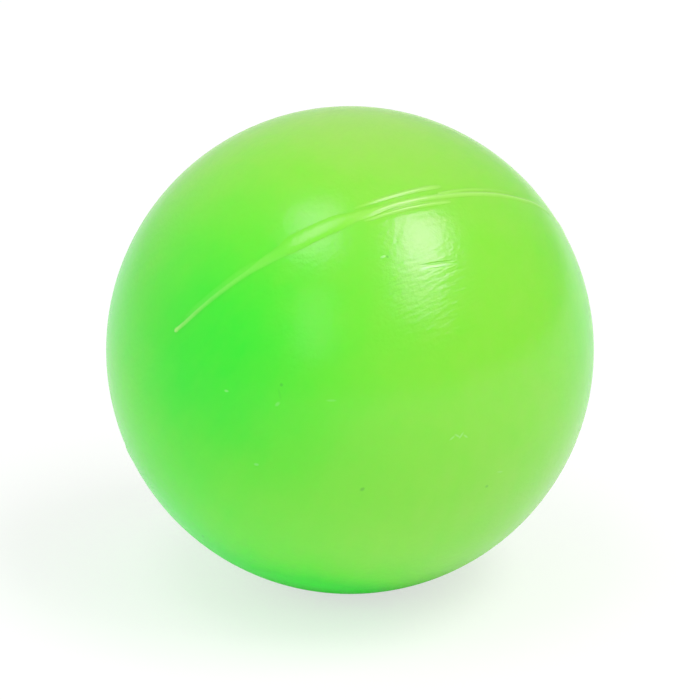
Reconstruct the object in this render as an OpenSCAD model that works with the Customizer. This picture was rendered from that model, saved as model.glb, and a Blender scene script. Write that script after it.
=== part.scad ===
// Hollow play ball, blow-moulded in one piece from a tube of soft plastic.
// The mould squeezes the tube flat at both ends: each end closes in a pinch-off
// weld, a long low bead on the parting plane with a short ridge on either side.
// Millimetres, +Z up, origin at the centre of the ball, as it lies on a floor.

/* [Ball] */
// Outer diameter of the ball
ball_d = 75; // [55:1:80]
// Thickness of the wall
wall = 0.6; // [0.6:0.05:1.2]

/* [Pinch-off weld] */
// Length of each weld, as an angle round the ball
weld_arc = 133; // [60:1:150]
// Width of the bead outside
bead_w = 0.46; // [0.3:0.02:0.8]
// Height of the bead above the ball
bead_h = 0.2; // [0.1:0.01:0.3]
// Diameter of the drop of plastic at each end of the bead
drop_d = 0.76; // [0.6:0.02:1]
// Height of that drop above the ball
drop_h = 0.25; // [0.15:0.01:0.35]
// Diameter of the round bead that the weld pushes up inside
inner_bead_d = 1; // [0.4:0.1:1.1]

/* [Side ridges] */
// Distance from the bead to the ridge in front of it
front_ridge_pitch = 0.95; // [0.8:0.05:2.5]
// Distance from the bead to the ridge behind it
back_ridge_pitch = 1.6; // [0.8:0.05:2.5]
// Width of a side ridge
ridge_w = 0.42; // [0.3:0.02:0.6]
// Height of a side ridge above the ball
ridge_h = 0.15; // [0.08:0.01:0.25]
// Length of a side ridge, as an angle round the ball
ridge_arc = 20; // [8:1:40]
// Angle from the middle of the weld to the middle of the ridges
ridge_shift = -6; // [-20:1:20]

/* [How the ball lies] */
// Tilt of the upper weld from the top of the ball towards the front
lie_tilt = 36; // [0:1:90]

/* [Hidden] */

plastic = "#7de640";
weld_plastic = "#98f06a";

ball_r = ball_d / 2;
inner_r = ball_r - wall;

// The land is the strip of wall that the squeezed tube closes with. It is just
// wide enough for the three ridges, and as long as the bead with its two drops.
land_w = 2 * (max(front_ridge_pitch, back_ridge_pitch) + ridge_w);
drop_arc = drop_d / ball_r * 180 / PI;
land_arc = weld_arc + 2 * drop_arc;

// Angle along the parting line at which each weld has its middle
top_turn = 0;
tail_turn = 180;

ball_facets = 160;
ridge_facets = 24;

// The welds are drawn on a flat parting plane: the children's Z is square to it,
// and their X runs to the middle of the upper weld. This turns them to the lie.
module as_it_lies() {
    rotate([lie_tilt, 0, 0]) rotate([-90, -90, 0]) children();
}

// The whole wall of the ball, closed all round
module hollow_ball() {
    difference() {
        sphere(r = ball_r, $fn = ball_facets);
        sphere(r = inner_r, $fn = ball_facets);
    }
}

// A block round the land, which runs past the wall on both sides
module land_block(turn) {
    rotate([0, 0, turn - land_arc / 2])
        rotate_extrude(angle = land_arc, $fn = ball_facets)
            translate([ball_r - 2 * wall, -land_w / 2])
                square([3 * wall, land_w]);
}

// A round rod bent along the parting line. ring_r is the radius of its bend, side
// how far it lies from the line, middle and arc where and how long it is.
module bent_rod(ring_r, side, middle, arc, width) {
    rotate([0, 0, middle - arc / 2])
        rotate_extrude(angle = arc, $fn = ball_facets)
            translate([ring_r, side])
                circle(d = width, $fn = ridge_facets);
}

// A ridge: a rod with round ends, sunk in the land until only its height shows
module ridge(side, middle, arc, width, height) {
    ring_r = sqrt(pow(ball_r + height - width / 2, 2) - pow(side, 2));
    bent_rod(ring_r, side, middle, arc, width);
    for (end = [-1, 1])
        rotate([0, 0, middle + end * arc / 2])
            translate([ring_r, 0, side])
                sphere(d = width, $fn = ridge_facets);
}

// The drop of plastic at one end of the bead
module drop(turn) {
    rotate([0, 0, turn])
        translate([ball_r + drop_h - drop_d / 2, 0, 0])
            sphere(d = drop_d, $fn = ridge_facets);
}

// One weld: its land, the bead outside with a drop at each end, the bead that
// is half sunk in the wall inside, and the two side ridges
module pinch_weld(turn) {
    intersection() {
        hollow_ball();
        land_block(turn);
    }
    ridge(0, turn, weld_arc, bead_w, bead_h);
    for (end = [-1, 1])
        drop(turn + end * weld_arc / 2);
    bent_rod(inner_r, 0, turn, weld_arc, inner_bead_d);
    for (side = [-front_ridge_pitch, back_ridge_pitch])
        ridge(side, turn + ridge_shift, ridge_arc, ridge_w, ridge_h);
}

module ball_shell() {
    color(plastic) as_it_lies() difference() {
        hollow_ball();
        land_block(top_turn);
        land_block(tail_turn);
    }
}

module top_pinch_weld() {
    color(weld_plastic) as_it_lies() pinch_weld(top_turn);
}

module tail_pinch_weld() {
    color(weld_plastic) as_it_lies() pinch_weld(tail_turn);
}

ball_shell();
top_pinch_weld();
tail_pinch_weld();
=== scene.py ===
"""Looks of a hollow play ball, blow-moulded in one piece from soft green plastic.

The frame holds the ball as three solids: the wall and the two pinch-off welds that
close it. Each gets its visible surface here. Lengths are metres and angles radians
unless a name says otherwise, in the frame of the solids.
"""
import sys

import logging
import math
from dataclasses import dataclass
from enum import Enum
from typing import Sequence

import bpy
import numpy as np
from mathutils import Matrix, Vector


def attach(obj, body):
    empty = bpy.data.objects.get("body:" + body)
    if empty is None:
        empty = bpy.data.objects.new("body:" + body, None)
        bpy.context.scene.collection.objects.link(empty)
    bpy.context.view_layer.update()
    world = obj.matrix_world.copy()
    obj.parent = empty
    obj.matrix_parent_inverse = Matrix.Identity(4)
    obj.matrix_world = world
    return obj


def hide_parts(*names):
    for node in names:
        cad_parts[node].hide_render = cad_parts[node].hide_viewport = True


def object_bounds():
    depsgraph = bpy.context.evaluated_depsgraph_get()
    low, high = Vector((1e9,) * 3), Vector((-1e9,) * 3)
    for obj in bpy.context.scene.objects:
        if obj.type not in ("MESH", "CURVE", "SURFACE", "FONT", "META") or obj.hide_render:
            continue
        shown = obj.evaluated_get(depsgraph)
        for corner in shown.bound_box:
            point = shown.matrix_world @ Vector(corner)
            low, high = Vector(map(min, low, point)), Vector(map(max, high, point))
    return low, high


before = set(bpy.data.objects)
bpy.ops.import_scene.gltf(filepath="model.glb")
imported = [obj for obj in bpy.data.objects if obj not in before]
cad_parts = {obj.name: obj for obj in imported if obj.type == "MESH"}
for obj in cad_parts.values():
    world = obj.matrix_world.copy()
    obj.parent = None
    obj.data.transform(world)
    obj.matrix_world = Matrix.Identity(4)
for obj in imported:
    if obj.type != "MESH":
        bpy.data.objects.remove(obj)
CAD_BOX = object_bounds()

LOG = logging.getLogger("ball")
MM = 0.001
MICRON = 0.000001
BODY = "root"

Colour = tuple[float, float, float]
Knots = tuple[tuple[float, float], ...]
Paint = Colour | bpy.types.NodeSocket


def eased(where: np.ndarray, knots: Knots) -> np.ndarray:
    """A curve through a few points, level at each of them.

    Between two neighbouring points it is the first value plus the rise times
    3t squared minus 2t cubed, with t the share of the way; outside it stays level.

    Args:
        where: the places at which the curve is read.
        knots: (place, value) pairs in rising order of place.

    Returns:
        The value at each place.
    """
    places = np.array([place for place, _ in knots])
    values = np.array([value for _, value in knots])
    left = np.clip(np.searchsorted(places, where) - 1, 0, len(knots) - 2)
    share = np.clip((where - places[left]) / (places[left + 1] - places[left]), 0, 1)
    return values[left] + (values[left + 1] - values[left]) * share**2 * (3 - 2 * share)


@dataclass(frozen=True)
class BallShape:
    """The ball's sizes, its own axes, and the small unevenness of its skin.

    A point of the skin has two angles: `along` runs round the parting line from the
    middle of the upper weld towards +X, and `across` is its height over that line.
    """

    radius: float
    wall: float = 0.6 * MM
    lie_tilt: float = math.radians(36)
    groove_depth: float = 0.045 * MM
    groove_place: float = -1.15 * MM
    groove_sides: tuple[float, float] = (1.0 * MM, 0.35 * MM)
    groove_run_deg: Knots = ((-20, 0.0), (-12, 1.0), (0, 1.0), (8, 0.0))
    sag_depth: float = 0.05 * MM
    sag_waves_along: int = 3
    sag_waves_across: int = 4
    sag_phases: tuple[float, float] = (0.6, -0.9)

    @property
    def parting_normal(self) -> np.ndarray:
        """Unit vector square to the parting plane, up and to the back."""
        return np.array([0.0, math.cos(self.lie_tilt), math.sin(self.lie_tilt)])

    @property
    def weld_middle(self) -> np.ndarray:
        """Unit vector to the middle of the upper weld."""
        return np.array([0.0, -math.sin(self.lie_tilt), math.cos(self.lie_tilt)])

    def direction(self, along: np.ndarray, across: np.ndarray) -> np.ndarray:
        """Unit vectors to points of the skin.

        cos(across) times (cos(along) weld middle + sin(along) X) + sin(across) normal.

        Args:
            along: angles round the parting line.
            across: angles over the parting line, of the same shape.

        Returns:
            An array with one more axis, for X, Y and Z.
        """
        level = np.cos(across)
        return (
            (level * np.cos(along))[..., None] * self.weld_middle
            + (level * np.sin(along))[..., None] * np.array([1.0, 0.0, 0.0])
            + np.sin(across)[..., None] * self.parting_normal
        )

    def local_axes(self, along_deg: float, across_deg: float, turn_deg: float) -> tuple[np.ndarray, ...]:
        """Three unit vectors at a point of the skin.

        Args:
            along_deg: the point's angle round the parting line, in degrees.
            across_deg: its angle over the parting line, in degrees.
            turn_deg: how far the first one leans from the parting line's direction.

        Returns:
            The first lies in the skin, the second too, square to it, and the third
            points outwards.
        """
        out = self.direction(np.radians(along_deg), np.radians(across_deg))
        level = self.direction(np.radians(along_deg + 90), np.array(0.0))
        turn = math.radians(turn_deg)
        first = math.cos(turn) * level + math.sin(turn) * np.cross(out, level)
        return first, np.cross(out, first), out

    def hollow(self, along: np.ndarray, across: np.ndarray) -> np.ndarray:
        """How far the skin lies inside the true sphere.

        At the foot of each weld's front ridge lies a shallow groove, wide in front and
        narrow under the ridge: across, it goes as the square of a cosine that ends at its
        edge, and along, as `groove_run_deg` says. Over all runs a very low wave, a cosine
        along times one across, which fades to the poles as a power of cos(across).

        Args:
            along: angles round the parting line.
            across: angles over the parting line, of the same shape.

        Returns:
            Depths, none below zero.
        """
        off = across * self.radius - self.groove_place
        share = np.clip(off / np.where(off < 0, *self.groove_sides), -1, 1)
        bell = np.cos(share * math.pi / 2) ** 2
        depth = np.zeros_like(across)
        for end in WeldEnd:
            turned = (along - end.turn + math.pi) % (2 * math.pi) - math.pi
            depth += self.groove_depth * bell * eased(np.degrees(turned), self.groove_run_deg)
        phase_along, phase_across = self.sag_phases
        wave = np.cos(self.sag_waves_along * along + phase_along) * np.cos(across) ** self.sag_waves_along
        wave = wave * np.cos(self.sag_waves_across * across + phase_across)
        return depth + self.sag_depth * 0.5 * (1 + wave)

    def skin(self, along: np.ndarray, across: np.ndarray, rise: np.ndarray) -> np.ndarray:
        """Points at `rise` above the skin, each on its direction from the centre."""
        reach = self.radius - self.hollow(along, across) + rise
        return reach[..., None] * self.direction(along, across)


class WeldEnd(Enum):
    """The two welds: the frame's node, and where on the parting line its middle is."""

    TOP = ("top_pinch_weld", 0.0)
    TAIL = ("tail_pinch_weld", math.pi)

    @property
    def node(self) -> str:
        """Name of the solid that the weld stands for."""
        return self.value[0]

    @property
    def turn(self) -> float:
        """Angle of the weld's middle along the parting line."""
        return self.value[1]


class MeshMaker:
    """Gathers closed skins made of rings, and turns them into one mesh piece."""

    def __init__(self) -> None:
        """Starts with no points."""
        self.points: list[np.ndarray] = []
        self.faces: list[list[int]] = []
        self.count = 0

    def add_rings(self, rings: np.ndarray, tips: np.ndarray, inward: bool = False) -> None:
        """Adds a closed skin: rings joined one to the next, with a tip at each end.

        Args:
            rings: (ring, point, XYZ), each ring closed and turning the same way.
            tips: the two end points, before the first ring and after the last.
            inward: True for the wall of a cavity, whose faces point into it.
        """
        ring_count, ring_size = rings.shape[:2]
        index = np.arange(ring_count * ring_size).reshape(ring_count, ring_size) + self.count
        after = np.roll(index, -1, axis=1)
        first_tip = self.count + ring_count * ring_size
        last_tip = first_tip + 1
        sides = np.stack([index[:-1], after[:-1], after[1:], index[1:]], axis=-1).reshape(-1, 4)
        start = np.stack([np.full(ring_size, first_tip), after[0], index[0]], axis=-1)
        end = np.stack([np.full(ring_size, last_tip), index[-1], after[-1]], axis=-1)
        turn = slice(None, None, -1) if inward else slice(None)
        for block in (sides, start, end):
            self.faces += block[:, turn].tolist()
        self.points += [rings.reshape(-1, 3), tips]
        self.count = last_tip + 1

    def volume(self) -> float:
        """Volume inside the faces: a sixth of the sum of corner triple products.

        Returns:
            The volume in cubic metres, below zero if the faces point inwards.
        """
        points = np.concatenate(self.points)
        fans = [(f[0], f[i], f[i + 1]) for f in self.faces for i in range(1, len(f) - 1)]
        a, b, c = points[np.array(fans)].transpose(1, 0, 2)
        return float(np.einsum("ij,ij->i", a, np.cross(b, c)).sum() / 6)

    def piece(self, name: str) -> bpy.types.Object:
        """Makes the smooth mesh object, at the origin, unturned and unscaled.

        Args:
            name: the piece's name.

        Returns:
            The new object.
        """
        mesh = bpy.data.meshes.new(name)
        mesh.from_pydata(np.concatenate(self.points), [], self.faces)
        mesh.shade_smooth()
        mesh.update()
        piece = bpy.data.objects.new(name, mesh)
        bpy.context.scene.collection.objects.link(piece)
        return piece


class NodeBench:
    """Adds and joins the nodes of one material or world."""

    def __init__(self, tree: bpy.types.NodeTree) -> None:
        """Takes the tree and empties it."""
        self.tree = tree
        tree.nodes.clear()

    def add(self, kind: str, inputs: dict | None = None, **settings: object) -> bpy.types.Node:
        """Adds a node.

        Args:
            kind: the node's type name.
            inputs: a value or an output socket for each input, by name or number.
            settings: the node's own properties.

        Returns:
            The new node.
        """
        node = self.tree.nodes.new(kind)
        for name, value in settings.items():
            setattr(node, name, value)
        for key, value in (inputs or {}).items():
            if isinstance(value, bpy.types.NodeSocket):
                self.tree.links.new(value, node.inputs[key])
            elif value is not None:
                node.inputs[key].default_value = value
        return node

    def math(self, operation: str, *values: float | bpy.types.NodeSocket) -> bpy.types.NodeSocket:
        """One step of arithmetic on one, two or three values."""
        node = self.add("ShaderNodeMath", dict(enumerate(values)), operation=operation)
        return node.outputs[0]

    def position(self) -> bpy.types.NodeSocket:
        """The point in Object coordinates."""
        return self.add("ShaderNodeTexCoord").outputs["Object"]

    def unit(self, vector: bpy.types.NodeSocket) -> bpy.types.NodeSocket:
        """The vector's direction."""
        node = self.add("ShaderNodeVectorMath", {0: vector}, operation="NORMALIZE")
        return node.outputs["Vector"]

    def dot(self, vector: bpy.types.NodeSocket, direction: Sequence[float]) -> bpy.types.NodeSocket:
        """How far the vector reaches along a fixed direction."""
        inputs = {0: vector, 1: tuple(direction)}
        return self.add("ShaderNodeVectorMath", inputs, operation="DOT_PRODUCT").outputs["Value"]

    def span(self, value: bpy.types.NodeSocket, start: float, end: float) -> bpy.types.NodeSocket:
        """Adds a smooth step.

        Args:
            value: the socket that is read.
            start: where the step is still 0.
            end: where it has reached 1, above or below `start`.

        Returns:
            The socket with the step, from 0 to 1.
        """
        inputs = {"Value": value, "From Min": start, "From Max": end}
        node = self.add("ShaderNodeMapRange", inputs, interpolation_type="SMOOTHSTEP")
        return node.outputs["Result"]

    def noise(self, vector: bpy.types.NodeSocket, pitch: float, detail: float) -> bpy.types.NodeSocket:
        """Adds noise about zero.

        Args:
            vector: the point at which it is read.
            pitch: roughly how far apart its patches are.
            detail: how many finer layers it has.

        Returns:
            The socket with the noise, from -0.5 to 0.5.
        """
        inputs = {"Vector": vector, "Scale": 1 / pitch, "Detail": detail}
        noise = self.add("ShaderNodeTexNoise", inputs)
        return self.math("SUBTRACT", noise.outputs["Fac"], 0.5)

    def framed(
        self,
        vector: bpy.types.NodeSocket,
        axes: Sequence[np.ndarray],
        scale: Sequence[float],
        centre: Sequence[float] = (0, 0, 0),
    ) -> bpy.types.NodeSocket:
        """Reads the point in a frame of its own.

        Args:
            vector: the point in Object coordinates.
            axes: three unit vectors square to each other, turning right-handed.
            scale: the length that counts as 1 on each axis.
            centre: where the frame's origin is.

        Returns:
            The socket with the point in that frame.
        """
        turn = Matrix([tuple(axis) for axis in axes]).transposed().to_euler("XYZ")
        inputs = {"Vector": vector, "Location": tuple(centre), "Rotation": turn, "Scale": tuple(scale)}
        return self.add("ShaderNodeMapping", inputs, vector_type="TEXTURE").outputs["Vector"]

    def blend(self, share: bpy.types.NodeSocket, first: Paint, second: Paint) -> bpy.types.NodeSocket:
        """Mixes two colours.

        Args:
            share: how much of the second one is taken.
            first: a colour, or a socket with one.
            second: the same.

        Returns:
            The socket with the colour between them.
        """
        node = self.add("ShaderNodeMix", {"Factor": share}, data_type="RGBA")
        for name, value in (("A", first), ("B", second)):
            socket = next(s for s in node.inputs if s.name == name and s.type == "RGBA")
            if isinstance(value, bpy.types.NodeSocket):
                self.tree.links.new(value, socket)
            else:
                socket.default_value = (*value, 1.0)
        return next(s for s in node.outputs if s.type == "RGBA")


@dataclass(frozen=True)
class ShadeLobe:
    """A round patch of painted shade, deeper green, where its amount is above zero, and of painted light,
    yellower green, where it is below.

    At a point whose direction makes the angle a with the lobe's it adds
    amount times e to the power (cos a - 1) / spread squared.
    """

    direction: Colour
    spread: float
    amount: float


@dataclass(frozen=True)
class Mark:
    """A small scratch, fleck or pinhole, as an oval on the skin.

    `turn_deg` is how far its length leans from the parting line's direction. `tone` is
    from -1, dark, to 1, pale, and `rise` is its height, below zero for a groove.
    """

    along_deg: float
    across_deg: float
    length: float
    width: float
    turn_deg: float = 0.0
    tone: float = 0.0
    rise: float = 0.0


# The last four lie on the side that faces away, and are guessed.
MARKS = (
    # A scratch in the right highlight. Its dark tone is painted shade in the groove. The pale line under
    # it, and the pale blob on that line, are a painted highlight on its lip. The first two also have a
    # bump.
    Mark(-4.5, -15.9, 7.0 * MM, 0.44 * MM, -5, -0.1, -50 * MICRON),
    Mark(-4.6, -16.7, 6.4 * MM, 0.48 * MM, -5, 0.5, 15 * MICRON),
    Mark(-8.0, -16.5, 2.2 * MM, 0.60 * MM, -5, 0.4),
    # A nick. Its pale tone is a painted glint on the raised nick, and the dark dot beside it is painted
    # shade on its far side.
    Mark(-16.2, -11.1, 1.1 * MM, 0.55 * MM, 0, 0.5, 30 * MICRON),
    Mark(-15.2, -11.4, 0.6 * MM, 0.6 * MM, 0, -0.3),
    Mark(-63.6, -18.9, 1.0 * MM, 0.5 * MM, -45, 0.32),
    Mark(-51.2, -25.6, 0.7 * MM, 0.7 * MM, 0, -0.3),
    Mark(-53.0, -27.0, 2.4 * MM, 0.5 * MM, 65, -0.08),
    Mark(-55.0, -28.4, 1.2 * MM, 0.7 * MM, 0, 0.18),
    Mark(-71.8, -35.0, 1.1 * MM, 0.6 * MM, -45, 0.24),
    Mark(-53.4, -55.5, 1.1 * MM, 0.8 * MM, 0, -0.35),
    Mark(-115.8, -29.3, 1.1 * MM, 0.8 * MM, 0, -0.4),
    Mark(8.4, -69.6, 0.8 * MM, 0.7 * MM, 0, -0.3),
    Mark(-13.0, -54.6, 1.4 * MM, 0.45 * MM, 25, 0.25),
    Mark(-10.8, -54.5, 1.5 * MM, 0.40 * MM, -45, 0.3),
    Mark(-9.2, -54.7, 1.5 * MM, 0.40 * MM, 45, 0.3),
    Mark(-7.4, -55.2, 1.2 * MM, 0.40 * MM, -45, 0.3),
    Mark(-42.9, -34.5, 2.0 * MM, 0.5 * MM, -32, 0.13),
    Mark(14.9, -66.0, 1.6 * MM, 0.45 * MM, 0, 0.18),
    Mark(118.0, 24.0, 1.1 * MM, 0.5 * MM, 30, 0.3),
    Mark(-164.0, 33.0, 0.9 * MM, 0.7 * MM, 0, -0.3),
    Mark(150.0, 48.0, 5.5 * MM, 0.4 * MM, 12, 0.2, -30 * MICRON),
    Mark(-120.0, 52.0, 1.0 * MM, 0.8 * MM, 0, -0.35),
)


@dataclass(frozen=True)
class BallPlastic:
    """Soft polyethylene, coloured in the mass and translucent, with a half-gloss skin.

    Its green runs from yellow-green at 0 to deep at 1, by a number made of round patches,
    clouds and streaks. The clouds and streaks are the plastic's own uneven tone. The
    patches are painted shade and painted light, fitted with the base level to the look of
    one side: deeper green where the ball lies in shade, yellower where the lamps fall.
    """

    name: str = "green_polyethylene"
    # The green rises towards the deep end, so that where the patches paint shade it stays as bright as on
    # the lit side. This is painted light that evens out the shading.
    stops: tuple[tuple[float, Colour], ...] = (
        (0.0, (0.345, 0.755, 0.08)),
        (0.2, (0.259, 0.795, 0.034)),
        (0.5, (0.136, 0.83, 0.010)),
        (0.8, (0.022, 0.855, 0.002)),
        (1.0, (0.003, 0.98, 0.002)),
    )
    base_tone: float = 0.14
    # Painted shade and painted light, fitted to the ball's look from one side. Most patches above zero
    # deepen the green on the left and along the bottom rim, where the ball lies in shade. The one below
    # zero makes the top yellower, where the lamps fall.
    shade_and_light_lobes: tuple[ShadeLobe, ...] = (
        ShadeLobe((-0.86, -0.41, 0.30), 0.42, 0.66),
        ShadeLobe((-0.49, 0.32, -0.81), 0.47, 1.30),
        ShadeLobe((-0.05, -0.13, 0.99), 0.29, -0.18),
        ShadeLobe((-0.79, 0.55, 0.27), 0.27, 0.60),
        ShadeLobe((0.83, -0.53, 0.15), 0.32, 0.37),
        ShadeLobe((-0.31, -0.34, -0.89), 0.20, 0.83),
    )
    cloud_pitch: float = 9 * MM
    cloud_amount: float = 0.07
    cloud_detail: float = 3.0
    streak_size: tuple[float, float, float] = (30 * MM, 3 * MM, 3 * MM)
    streak_amount: float = 0.045
    streak_detail: float = 2.0
    mark_reach: float = 4 * MM
    mark_core: float = 0.25
    # Tints for the flecks. On the scratch and the nick they paint a highlight and shade.
    pale: Colour = (0.55, 0.92, 0.38)
    dark: Colour = (0.01, 0.36, 0.02)
    roughness: float = 0.245
    roughness_swing: float = 0.02
    scuff_pitch: float = 5 * MM
    scuff_detail: float = 4.0
    ior: float = 1.51
    specular_level: float = 0.7
    # A liberty, as this plastic's gloss has no tint: it lets the highlights' green clip less.
    specular_tint: Colour = (1.0, 0.4, 1.0)
    scatter_weight: float = 1.0
    scatter_depth: float = 0.25 * MM
    grain_pitch: float = 0.9 * MM
    grain_rise: float = 22 * MICRON
    grain_detail: float = 3.0
    ripple_pitch: float = 0.62 * MM
    ripple_length: float = 2.4 * MM
    ripple_depth: float = 12 * MM
    ripple_detail: float = 1.5
    ripple_rise: float = 32 * MICRON
    ripple_centre_deg: tuple[float, float] = (-8.0, -23.0)
    ripple_turn_deg: float = 8.0
    ripple_reach_deg: float = 17.0
    ripple_elsewhere: float = 0.15

    def painted_shade_and_tone(
        self, bench: NodeBench, shape: BallShape, point: bpy.types.NodeSocket
    ) -> bpy.types.NodeSocket:
        """Adds the nodes for the depth of green at a point: painted shade and light from the round patches,
        and the plastic's own tone from clouds and streaks.

        Args:
            bench: the material's nodes.
            shape: the ball, for its axes.
            point: the point in Object coordinates.

        Returns:
            The socket with the number, yellow-green at 0 and deep at 1 or past it.
        """
        towards = bench.unit(point)
        total = bench.math("ADD", self.base_tone, 0.0)
        # Each patch adds painted shade, or painted light where its amount is below zero.
        for lobe in self.shade_and_light_lobes:
            steep = 1 / lobe.spread**2
            reach = bench.dot(towards, Vector(lobe.direction).normalized())
            fall = bench.math("EXPONENT", bench.math("MULTIPLY_ADD", reach, steep, -steep))
            total = bench.math("MULTIPLY_ADD", fall, lobe.amount, total)
        cloud = bench.noise(point, self.cloud_pitch, self.cloud_detail)
        total = bench.math("MULTIPLY_ADD", cloud, 2 * self.cloud_amount, total)
        axes = (shape.weld_middle, np.array([1.0, 0.0, 0.0]), shape.parting_normal)
        flow = bench.framed(point, axes, self.streak_size)
        streak = bench.noise(flow, 1.0, self.streak_detail)
        return bench.math("MULTIPLY_ADD", streak, 2 * self.streak_amount, total)

    def colour(self, bench: NodeBench, painted_shade_and_tone: bpy.types.NodeSocket) -> bpy.types.NodeSocket:
        """Turns the depth of green, painted shade and light included, into the plastic's colour with a
        ramp.

        Args:
            bench: the material's nodes.
            painted_shade_and_tone: the socket with the depth of green. What lies past 0 or 1 counts as
                that.

        Returns:
            The socket with the colour.
        """
        ramp = bench.add("ShaderNodeValToRGB", {"Fac": painted_shade_and_tone})
        elements = ramp.color_ramp.elements
        for place, _ in self.stops[1:-1]:
            elements.new(place)
        for element, (place, colour) in zip(elements, self.stops):
            element.position = place
            element.color = (*colour, 1.0)
        return ramp.outputs["Color"]

    def mark_shares(
        self, bench: NodeBench, shape: BallShape, point: bpy.types.NodeSocket
    ) -> list[tuple[Mark, bpy.types.NodeSocket]]:
        """Adds the nodes for each mark.

        Args:
            bench: the material's nodes.
            shape: the ball, for its radius and axes.
            point: the point in Object coordinates.

        Returns:
            Each mark with a socket that is 1 at its middle and 0 outside it.
        """
        shares = []
        for mark in MARKS:
            axes = shape.local_axes(mark.along_deg, mark.across_deg, mark.turn_deg)
            scale = (mark.length / 2, mark.width / 2, self.mark_reach)
            local = bench.framed(point, axes, scale, axes[2] * shape.radius)
            away = bench.add("ShaderNodeVectorMath", {0: local}, operation="LENGTH").outputs["Value"]
            shares.append((mark, bench.span(away, 1.0, self.mark_core)))
        return shares

    def relief(
        self,
        bench: NodeBench,
        shape: BallShape,
        point: bpy.types.NodeSocket,
        shares: list[tuple[Mark, bpy.types.NodeSocket]],
    ) -> bpy.types.NodeSocket:
        """Adds the bump nodes: fine grain, a patch of ripples beside the weld, the marks.

        Args:
            bench: the material's nodes.
            shape: the ball, for its axes.
            point: the point in Object coordinates.
            shares: the marks with their sockets.

        Returns:
            The bumped normal.
        """
        grain = bench.noise(point, self.grain_pitch, self.grain_detail)
        height = bench.math("MULTIPLY", grain, 2 * self.grain_rise)
        axes = shape.local_axes(*self.ripple_centre_deg, self.ripple_turn_deg)
        steps = (self.ripple_length, self.ripple_pitch, self.ripple_depth)
        ripple = bench.noise(bench.framed(point, axes, steps), 1.0, self.ripple_detail)
        reach = bench.dot(bench.unit(point), axes[2])
        edge = math.cos(math.radians(self.ripple_reach_deg))
        inside = bench.span(reach, edge, 1.0)
        patch = bench.math("MULTIPLY_ADD", inside, 1 - self.ripple_elsewhere, self.ripple_elsewhere)
        swing = bench.math("MULTIPLY", patch, 2 * self.ripple_rise)
        height = bench.math("MULTIPLY_ADD", ripple, swing, height)
        for mark, share in shares:
            if mark.rise:
                height = bench.math("MULTIPLY_ADD", share, mark.rise, height)
        inputs = {"Height": height, "Distance": 1.0, "Strength": 1.0}
        return bench.add("ShaderNodeBump", inputs).outputs["Normal"]

    def material(self, shape: BallShape) -> bpy.types.Material:
        """Builds the material.

        Args:
            shape: the ball that it goes on.

        Returns:
            The new material.
        """
        material = bpy.data.materials.new(self.name)
        material.use_nodes = True
        bench = NodeBench(material.node_tree)
        point = bench.position()
        shares = self.mark_shares(bench, shape, point)
        colour = self.surface_colour(bench, self.colour(bench, self.painted_shade_and_tone(bench, shape, point)))
        for mark, share in shares:
            if mark.tone:
                tint = self.pale if mark.tone > 0 else self.dark
                colour = bench.blend(bench.math("MULTIPLY", share, abs(mark.tone)), colour, tint)
        scuff = bench.noise(point, self.scuff_pitch, self.scuff_detail)
        shader = bench.add(
            "ShaderNodeBsdfPrincipled",
            {
                "Base Color": colour,
                "Roughness": bench.math("MULTIPLY_ADD", scuff, 2 * self.roughness_swing, self.roughness),
                "IOR": self.ior,
                "Specular IOR Level": self.specular_level,
                "Specular Tint": (*self.specular_tint, 1.0),
                "Normal": self.relief(bench, shape, point, shares),
                "Subsurface Weight": self.scatter_weight,
                "Subsurface Radius": (1.0, 1.0, 1.0),
                "Subsurface Scale": self.scatter_depth,
            },
            subsurface_method="RANDOM_WALK",
        )
        bench.add("ShaderNodeOutputMaterial", {"Surface": shader.outputs["BSDF"]})
        return material

    def surface_colour(self, bench: NodeBench, colour: bpy.types.NodeSocket) -> bpy.types.NodeSocket:
        """Leaves the wall's colour as it is. A weld's plastic changes it."""
        return colour


@dataclass(frozen=True)
class WeldPlastic(BallPlastic):
    """The same plastic on a weld, paler towards the crest: partly the squeezed plastic's paler tone, partly
    a painted highlight along the bead's top.
    """

    name: str = "squeezed_polyethylene"
    scatter_weight: float = 0.0
    # Partly the squeezed plastic's paler tone, partly a painted highlight along the bead's top.
    crest_pale_and_highlight_colour: Colour = (0.50, 0.90, 0.22)
    crest_pale_and_highlight_share: float = 0.55

    def surface_colour(self, bench: NodeBench, colour: bpy.types.NodeSocket) -> bpy.types.NodeSocket:
        """Blends the wall's colour into the crest's by the piece's own attribute."""
        # Painted highlight in part: the crest's paler colour also stands for the bright line along the
        # bead's top.
        crest = bench.add("ShaderNodeAttribute", attribute_name=PinchWeld.CREST_PALE_AND_HIGHLIGHT).outputs["Fac"]
        return bench.blend(bench.math("MULTIPLY", crest, self.crest_pale_and_highlight_share), colour, self.crest_pale_and_highlight_colour)


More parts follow.
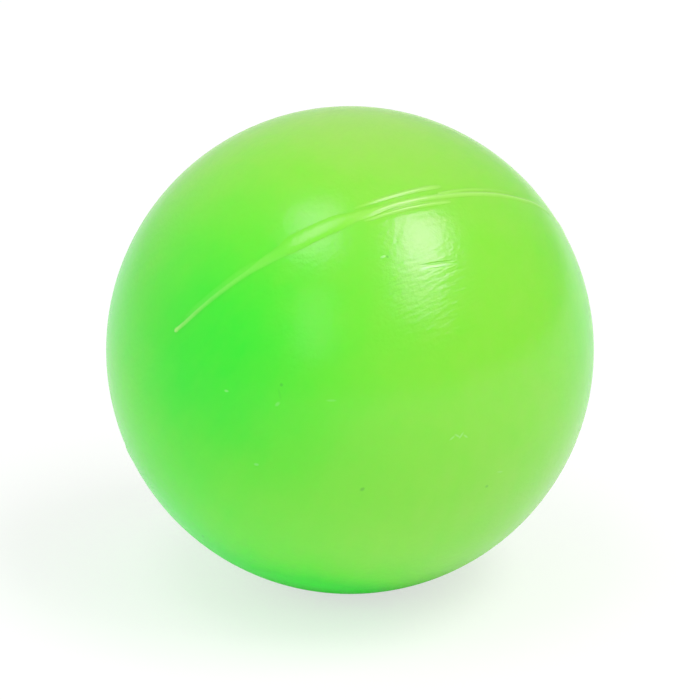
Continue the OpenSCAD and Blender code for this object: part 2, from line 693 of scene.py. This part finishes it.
@dataclass
class BallWall:
    """The wall: the skin outside, and the skin inside with the welds' round beads."""

    shape: BallShape
    finish: BallPlastic
    columns: int = 300
    rows: int = 210
    crowding: float = 0.25
    inner_columns: int = 160
    inner_rows: int = 120
    inner_crowding: float = 0.3
    inner_bead_radius: float = 0.5 * MM
    inner_bead_fade_deg: float = 1.5
    weld_arc_deg: float = 133.0

    def angles(self, columns: int, rows: int, crowding: float) -> tuple[np.ndarray, np.ndarray]:
        """The grid of a skin, with its rows crowded at the parting line.

        A row at the share t from -1 to 1 lies at 90 degrees times
        (crowding times t + (1 - crowding) times t cubed).

        Args:
            columns: steps round the parting line.
            rows: steps from pole to pole, the poles left out.
            crowding: spacing at the parting line, as a share of the mean.

        Returns:
            The angles along and across, (row, column).
        """
        along = np.linspace(-math.pi, math.pi, columns, endpoint=False)
        share = np.linspace(-1, 1, rows + 2)[1:-1]
        across = math.pi / 2 * (crowding * share + (1 - crowding) * share**3)
        return np.broadcast_arrays(along[None, :], across[:, None])

    def inner_bead(self, along: np.ndarray, across: np.ndarray) -> np.ndarray:
        """Height of the welds' beads inside: a half circle across, faded at the ends.

        Args:
            along: angles round the parting line.
            across: angles over the parting line, of the same shape.

        Returns:
            Heights over the inner skin, none below zero.
        """
        offset = across * self.shape.radius
        height = np.sqrt(np.clip(self.inner_bead_radius**2 - offset**2, 0, None))
        half = self.weld_arc_deg / 2
        fade = np.zeros_like(height)
        for end in WeldEnd:
            turned = np.degrees((along - end.turn + math.pi) % (2 * math.pi) - math.pi)
            fade += eased(np.abs(turned), ((half - self.inner_bead_fade_deg, 1.0), (half, 0.0)))
        return height * fade

    def build(self) -> bpy.types.Object:
        """Makes the wall with its two skins, dresses it and gives it its place.

        Returns:
            The new piece.
        """
        shape = self.shape
        maker = MeshMaker()
        poles = np.stack([-shape.parting_normal, shape.parting_normal])
        along, across = self.angles(self.columns, self.rows, self.crowding)
        pole_reach = shape.radius - shape.hollow(np.zeros(2), np.array([-1, 1]) * math.pi / 2)
        maker.add_rings(shape.skin(along, across, np.zeros_like(across)), poles * pole_reach[:, None])
        along, across = self.angles(self.inner_columns, self.inner_rows, self.inner_crowding)
        inside = shape.skin(along, across, -shape.wall - self.inner_bead(along, across))
        maker.add_rings(inside, poles * (pole_reach[:, None] - shape.wall), inward=True)
        piece = maker.piece("ball_wall")
        piece.data.materials.append(self.finish.material(shape))
        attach(piece, BODY)
        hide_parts("ball_shell")
        LOG.info("%s: %d faces, %.0f mm3", piece.name, len(piece.data.polygons), maker.volume() / MM**3)
        return piece


@dataclass(frozen=True)
class Rib:
    """One raised line of a weld. Places are degrees from the weld's middle.

    `offset` is its distance from the parting line, `height` its rise over the skin and
    `half_width` half its foot, all in millimetres. `pale_and_highlight` is how much of the pale
    colour its crest takes, partly paler plastic and partly a painted highlight, and
    `squareness` the power in its section, 2 for a bell and 4 for a flat top. All are eased
    between their points.
    """

    start_deg: float
    end_deg: float
    offset: Knots
    height: Knots
    half_width: Knots
    pale_and_highlight: Knots = ((0, 1.0), (1, 1.0))
    squareness: Knots = ((0, 2.0), (1, 2.0))


@dataclass
class PinchWeld:
    """A weld outside: the bead with a drop at each end, side ridges and flash lines."""

    CREST_PALE_AND_HIGHLIGHT = "crest"

    shape: BallShape
    finish: WeldPlastic
    end: WeldEnd
    step: float = 0.2 * MM
    round_end_steps: int = 8
    top_points: int = 19
    root_points: int = 5
    root_depth: float = 0.25 * MM
    edge_sink: float = 0.012 * MM
    pale_and_highlight_height: float = 0.2 * MM
    ribs: tuple[Rib, ...] = (
        # The bead, with a drop at each end.
        Rib(
            -67.0, 67.0,
            ((-67, 0.05), (-63, -0.15), (-46, -0.1), (-38, 0.0), (-32, 0.25), (-23, 0.28), (-14, 0.0),
             (-8, 0.12), (-3, 0.05), (6, -0.12), (27, -0.1), (38, 0.2), (67, -0.1)),
            ((-67, 0.2), (-65.6, 0.17), (-46, 0.15), (-38, 0.14), (-32, 0.17), (-22, 0.16), (-12, 0.16),
             (30, 0.18), (40, 0.09), (60, 0.08), (65.6, 0.1), (67, 0.12)),
            ((-67, 0.5), (-65.6, 0.42), (-46, 0.55), (-38, 0.95), (-32, 1.6), (-23, 1.55), (-17, 0.95),
             (-9, 0.54), (30, 0.5), (65.6, 0.42), (67, 0.5)),
            ((-67, 1.3), (-63, 0.75), (-54, 0.5), (-42, 0.4), (-34, 0.08), (-22, 0.08), (-16, 0.35),
             (-10, 0.5), (-3, 1.0), (3, 0.8), (20, 0.85)),
            ((-46, 2.0), (-36, 3.0), (-22, 3.0), (-14, 2.0)),
        ),
        # A faint line beside its left part.
        Rib(
            -64.0, -40.0,
            ((-64, 0.3), (-40, 0.35)),
            ((-64, 0.014), (-58, 0.03), (-46, 0.03), (-40, 0.014)),
            ((-64, 1.0), (-40, 1.3)),
            ((-64, 0.4), (-40, 0.4)),
        ),
        # The side ridge behind.
        Rib(
            -17.0, 5.0,
            ((-17, 1.55), (-4, 1.68), (5, 1.72)),
            ((-17, 0.03), (-11, 0.12), (0, 0.15), (5, 0.04)),
            ((-17, 0.4), (-8, 0.46), (5, 0.5)),
            ((-17, 0.3), (-10, 0.45), (-3, 0.8), (5, 0.7)),
        ),
        # The side ridge in front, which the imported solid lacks.
        Rib(
            -16.5, 5.5,
            ((-16.5, -1.0), (-8, -1.05), (4, -1.2)),
            ((-16.5, 0.03), (-11, 0.15), (-1, 0.17), (3, 0.09), (5.5, 0.03)),
            ((-16.5, 0.34), (5.5, 0.4)),
            ((-16.5, 0.6), (-10, 0.65), (-3, 0.8), (5.5, 0.9)),
        ),
        # A faint second line right of the middle.
        Rib(
            3.0, 27.0,
            ((3, 0.45), (12, 0.7), (26, 0.8)),
            ((3, 0.05), (6, 0.09), (10, 0.055), (27, 0.03)),
            ((3, 0.4), (27, 0.34)),
            ((3, 0.7), (27, 0.45)),
        ),
    )

    def places(self, rib: Rib) -> np.ndarray:
        """Angles of a rib's sections, closer together where its ends are round.

        Args:
            rib: the rib.

        Returns:
            Degrees from the weld's middle, in rising order, without the very ends.
        """
        degree = math.radians(1) * self.shape.radius
        round_part = eased(np.array([rib.start_deg]), rib.half_width)[0] * MM / degree
        quarter = np.linspace(0, math.pi / 2, self.round_end_steps + 1)[1:]
        bend = round_part * (1 - np.cos(quarter))
        count = int((rib.end_deg - rib.start_deg - 2 * round_part) * degree / self.step)
        middle = np.linspace(rib.start_deg + round_part, rib.end_deg - round_part, count)
        return np.concatenate([rib.start_deg + bend[:-1], middle, (rib.end_deg - bend[:-1])[::-1]])

    def add_rib(self, maker: MeshMaker, rib: Rib) -> np.ndarray:
        """Adds a rib: a bell-shaped section carried along the skin, with round ends.

        At the share u from -1 to 1 of its half width, the top lies the height times
        (1 - |u| to the power of the squareness) squared over the skin, less `edge_sink`,
        and the root lies `root_depth` under it. Width and height shrink as a circle does
        over the round ends. A fault is left in it: because the top runs from -1 to 1 and
        the root back, the faces point inwards.

        Args:
            maker: takes the rib's skin.
            rib: the rib.

        Returns:
            How near to the crest each of its points is, from 0 to 1.
        """
        degrees = self.places(rib)
        half_width = eased(degrees, rib.half_width) * MM
        height = eased(degrees, rib.height) * MM
        offset = eased(degrees, rib.offset) * MM
        arc = math.radians(1) * self.shape.radius
        from_end = np.minimum(degrees - rib.start_deg, rib.end_deg - degrees) * arc
        gone = np.clip(1 - from_end / half_width, 0, 1)
        closing = np.sqrt(1 - gone**2)
        top = np.sin(np.linspace(-math.pi / 2, math.pi / 2, self.top_points))
        root = np.linspace(1, -1, self.root_points)
        share = np.concatenate([top, root])
        on_top = np.arange(share.size) < top.size
        power = eased(degrees, rib.squareness)[:, None]
        rise = (height * closing)[:, None] * (1 - np.abs(share)[None, :] ** power) ** 2
        rise = np.where(on_top[None, :], rise - self.edge_sink, -self.root_depth)
        aside = offset[:, None] + (half_width * closing)[:, None] * share[None, :]
        along = np.radians(degrees)[:, None] + self.end.turn + np.zeros_like(aside)
        rings = self.shape.skin(along, aside / self.shape.radius, rise)
        tips = rings[[0, -1]].mean(axis=1)
        maker.add_rings(rings, tips)
        # The crest's share of the pale colour: partly paler plastic, partly a painted highlight.
        crest = np.clip(rise / self.pale_and_highlight_height, 0, 1) ** 0.5 * eased(degrees, rib.pale_and_highlight)[:, None]
        return np.concatenate([crest.ravel(), np.zeros(len(tips))])

    def build(self) -> bpy.types.Object:
        """Makes the weld's ribs, dresses them and gives them their place.

        Returns:
            The new piece.
        """
        maker = MeshMaker()
        crests = [self.add_rib(maker, rib) for rib in self.ribs]
        piece = maker.piece(self.end.node.replace("pinch_weld", "weld_bead"))
        crest = piece.data.attributes.new(self.CREST_PALE_AND_HIGHLIGHT, "FLOAT", "POINT")
        crest.data.foreach_set("value", np.concatenate(crests).astype(np.float32))
        piece.data.materials.append(self.finish.material(self.shape))
        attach(piece, BODY)
        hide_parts(self.end.node)
        LOG.info("%s: %d faces, %.1f mm3", piece.name, len(piece.data.polygons), maker.volume() / MM**3)
        return piece


@dataclass(frozen=True)
class SoftBox:
    """A square lamp with a soft cloth front.

    `aim` is its direction from the ball, to the camera's right, up and backwards;
    `radiance` is how bright its front is, where 1 shows as white in the picture.
    """

    name: str
    aim: Colour
    width: float
    height: float
    radiance: float
    distance: float = 2.0

    def upright(self) -> Vector:
        """Direction of its height, given like its aim, that a ball mirrors upright.

        The mirroring point has the normal n, halfway between the aim and the camera,
        and its mirror direction is 2 n.z n - Z. This is how that turns as n.y grows.
        """
        x, y, z = (Vector(self.aim).normalized() + Vector((0.0, 0.0, 1.0))).normalized()
        return Vector((-x * y / z, z - y * y / z, -2 * y)).normalized()


@dataclass
class Studio:
    """Floor, room, lamps and camera round the ball.

    The camera's elevation and distance are chosen, as a ball's outline doesn't show
    them. Its azimuth follows from them and from where the weld is seen.
    """

    shape: BallShape
    azimuth_deg: float = -30.5
    elevation_deg: float = 20.0
    distance_in_radii: float = 12.0
    image_px: float = 700.0
    disc_radius_px: float = 244.2
    sensor_mm: float = 36.0
    clip_start: float = 0.01
    room_light: float = 0.67
    room_lean: Colour = (-0.36, -0.2, -0.05)
    floor_size: float = 6.0
    floor_colour: float = 0.96
    floor_seen_colour: float = 0.38
    floor_glow: float = 0.64
    contact_near: float = 1.02
    contact_far: float = 1.6
    lamps: tuple[SoftBox, ...] = (
        SoftBox("key_lamp", (0.480, 0.738, 0.474), 0.68, 1.00, 6.9),
        SoftBox("key_skirt", (0.511, 0.438, 0.740), 0.70, 0.78, 2.5),
        SoftBox("fill_lamp", (-0.237, 0.821, 0.519), 0.62, 1.00, 3.0),
        SoftBox("fill_skirt", (-0.272, 0.213, 0.938), 0.56, 1.10, 0.9),
    )

    def axes(self) -> tuple[Vector, Vector, Vector]:
        """Works out where the camera's own axes point.

        Returns:
            Its right, up and backward directions.
        """
        azimuth = math.radians(self.azimuth_deg)
        elevation = math.radians(self.elevation_deg)
        level = math.cos(elevation)
        back = Vector((math.sin(azimuth) * level, -math.cos(azimuth) * level, math.sin(elevation)))
        right = Vector((math.cos(azimuth), math.sin(azimuth), 0.0))
        return right, back.cross(right), back

    def in_world(self, direction: Sequence[float]) -> Vector:
        """Turns a direction given to the camera's right, up and backwards."""
        return sum((part * axis for part, axis in zip(direction, self.axes())), Vector()).normalized()

    def place(self, data: bpy.types.ID, back: Vector, upward: Vector, distance: float) -> bpy.types.Object:
        """Adds a camera or a lamp that looks at the ball's centre.

        Args:
            data: the camera or lamp.
            back: unit vector from the ball to it.
            upward: roughly its own up direction.
            distance: how far it is from the ball's centre.

        Returns:
            The new object.
        """
        item = bpy.data.objects.new(data.name, data)
        bpy.context.scene.collection.objects.link(item)
        right = upward.cross(back).normalized()
        item.location = back * distance
        item.rotation_euler = Matrix((right, back.cross(right), back)).transposed().to_euler()
        return item

    def build_camera(self) -> None:
        """Adds the camera, with the lens that gives the disc its width in the picture."""
        camera = bpy.data.cameras.new("camera")
        focal_px = self.disc_radius_px * math.sqrt(self.distance_in_radii**2 - 1)
        camera.sensor_width = self.sensor_mm
        camera.lens = self.sensor_mm * focal_px / self.image_px
        camera.clip_start = self.clip_start
        distance = self.distance_in_radii * self.shape.radius
        _, up, back = self.axes()
        bpy.context.scene.camera = self.place(camera, back, up, distance)

    def build_lamps(self) -> None:
        """Adds the lamps. A front of area A and radiance L sends out pi A L watts."""
        for lamp in self.lamps:
            light = bpy.data.lights.new(lamp.name, "AREA")
            light.shape = "RECTANGLE"
            light.size = lamp.width
            light.size_y = lamp.height
            light.energy = math.pi * lamp.width * lamp.height * lamp.radiance
            self.place(light, self.in_world(lamp.aim), self.in_world(lamp.upright()), lamp.distance)

    def seen_share(self, bench: NodeBench) -> bpy.types.NodeSocket:
        """Adds the nodes that tell what is seen from what only lights.

        Close to where the ball stands, from `contact_near` to `contact_far` radii from
        its centre, gloss shows the floor as it is lit, with the ball's shadow on it.

        Args:
            bench: the floor's nodes.

        Returns:
            1 for what the camera sees, straight or in gloss or glass, and 0 for light.
        """
        path = bench.add("ShaderNodeLightPath").outputs
        away = bench.add("ShaderNodeVectorMath", {0: bench.position()}, operation="LENGTH").outputs["Value"]
        far = bench.span(away, self.contact_near * self.shape.radius, self.contact_far * self.shape.radius)
        glossy = bench.math("MULTIPLY", path["Is Glossy Ray"], far)
        share = bench.math("MAXIMUM", path["Is Camera Ray"], glossy)
        return bench.math("MAXIMUM", share, path["Is Transmission Ray"])

    def build_room(self) -> None:
        """Makes the world, a white room that is brighter opposite the key lamp.

        Its light is `room_light` times 1 plus the direction's reach along `room_lean`,
        which is given to the camera's right, up and backwards.
        """
        world = bpy.data.worlds.new("room")
        bpy.context.scene.world = world
        world.use_nodes = True
        bench = NodeBench(world.node_tree)
        lean = sum((part * axis for part, axis in zip(self.room_lean, self.axes())), Vector())
        reach = bench.dot(bench.unit(bench.add("ShaderNodeTexCoord").outputs["Generated"]), lean)
        strength = bench.math("MULTIPLY_ADD", reach, self.room_light, self.room_light)
        inputs = {"Color": (1.0, 1.0, 1.0, 1.0), "Strength": strength}
        white = bench.add("ShaderNodeBackground", inputs)
        bench.add("ShaderNodeOutputWorld", {"Surface": white.outputs[0]})

    def build_floor(self) -> None:
        """Makes the pale floor under the ball, which keeps its shadow."""
        half = self.floor_size / 2
        level = -self.shape.radius
        corners = [(-half, -half, level), (half, -half, level), (half, half, level), (-half, half, level)]
        mesh = bpy.data.meshes.new("floor")
        mesh.from_pydata(corners, [], [(0, 1, 2, 3)])
        floor = bpy.data.objects.new("floor", mesh)
        bpy.context.scene.collection.objects.link(floor)
        material = bpy.data.materials.new("floor")
        material.use_nodes = True
        bench = NodeBench(material.node_tree)
        seen = self.seen_share(bench)
        lit_colour = (self.floor_colour,) * 3
        seen_colour = (self.floor_seen_colour,) * 3
        paint = bench.add("ShaderNodeBsdfDiffuse", {"Color": bench.blend(seen, lit_colour, seen_colour)})
        glow_strength = bench.math("MULTIPLY", seen, self.floor_glow)
        glow = bench.add("ShaderNodeEmission", {"Strength": glow_strength})
        both = bench.add("ShaderNodeAddShader", {0: paint.outputs[0], 1: glow.outputs[0]})
        bench.add("ShaderNodeOutputMaterial", {"Surface": both.outputs[0]})
        mesh.materials.append(material)

    def build(self) -> None:
        """Sets up everything round the ball."""
        bpy.context.scene.view_settings.view_transform = "Standard"
        self.build_camera()
        self.build_lamps()
        self.build_room()
        self.build_floor()
        LOG.info("studio: %d lamps", len(self.lamps))


def main() -> None:
    """Builds the wall, the two welds and the studio."""
    logging.basicConfig(level=logging.INFO, format="%(message)s", stream=sys.stdout)
    half_sides = [(high - low) / 2 for low, high in zip(*CAD_BOX)]
    shape = BallShape(radius=min(half_sides))
    BallWall(shape, BallPlastic()).build()
    for end in WeldEnd:
        PinchWeld(shape, WeldPlastic(), end).build()
    Studio(shape).build()


if __name__ == "__main__":
    main()
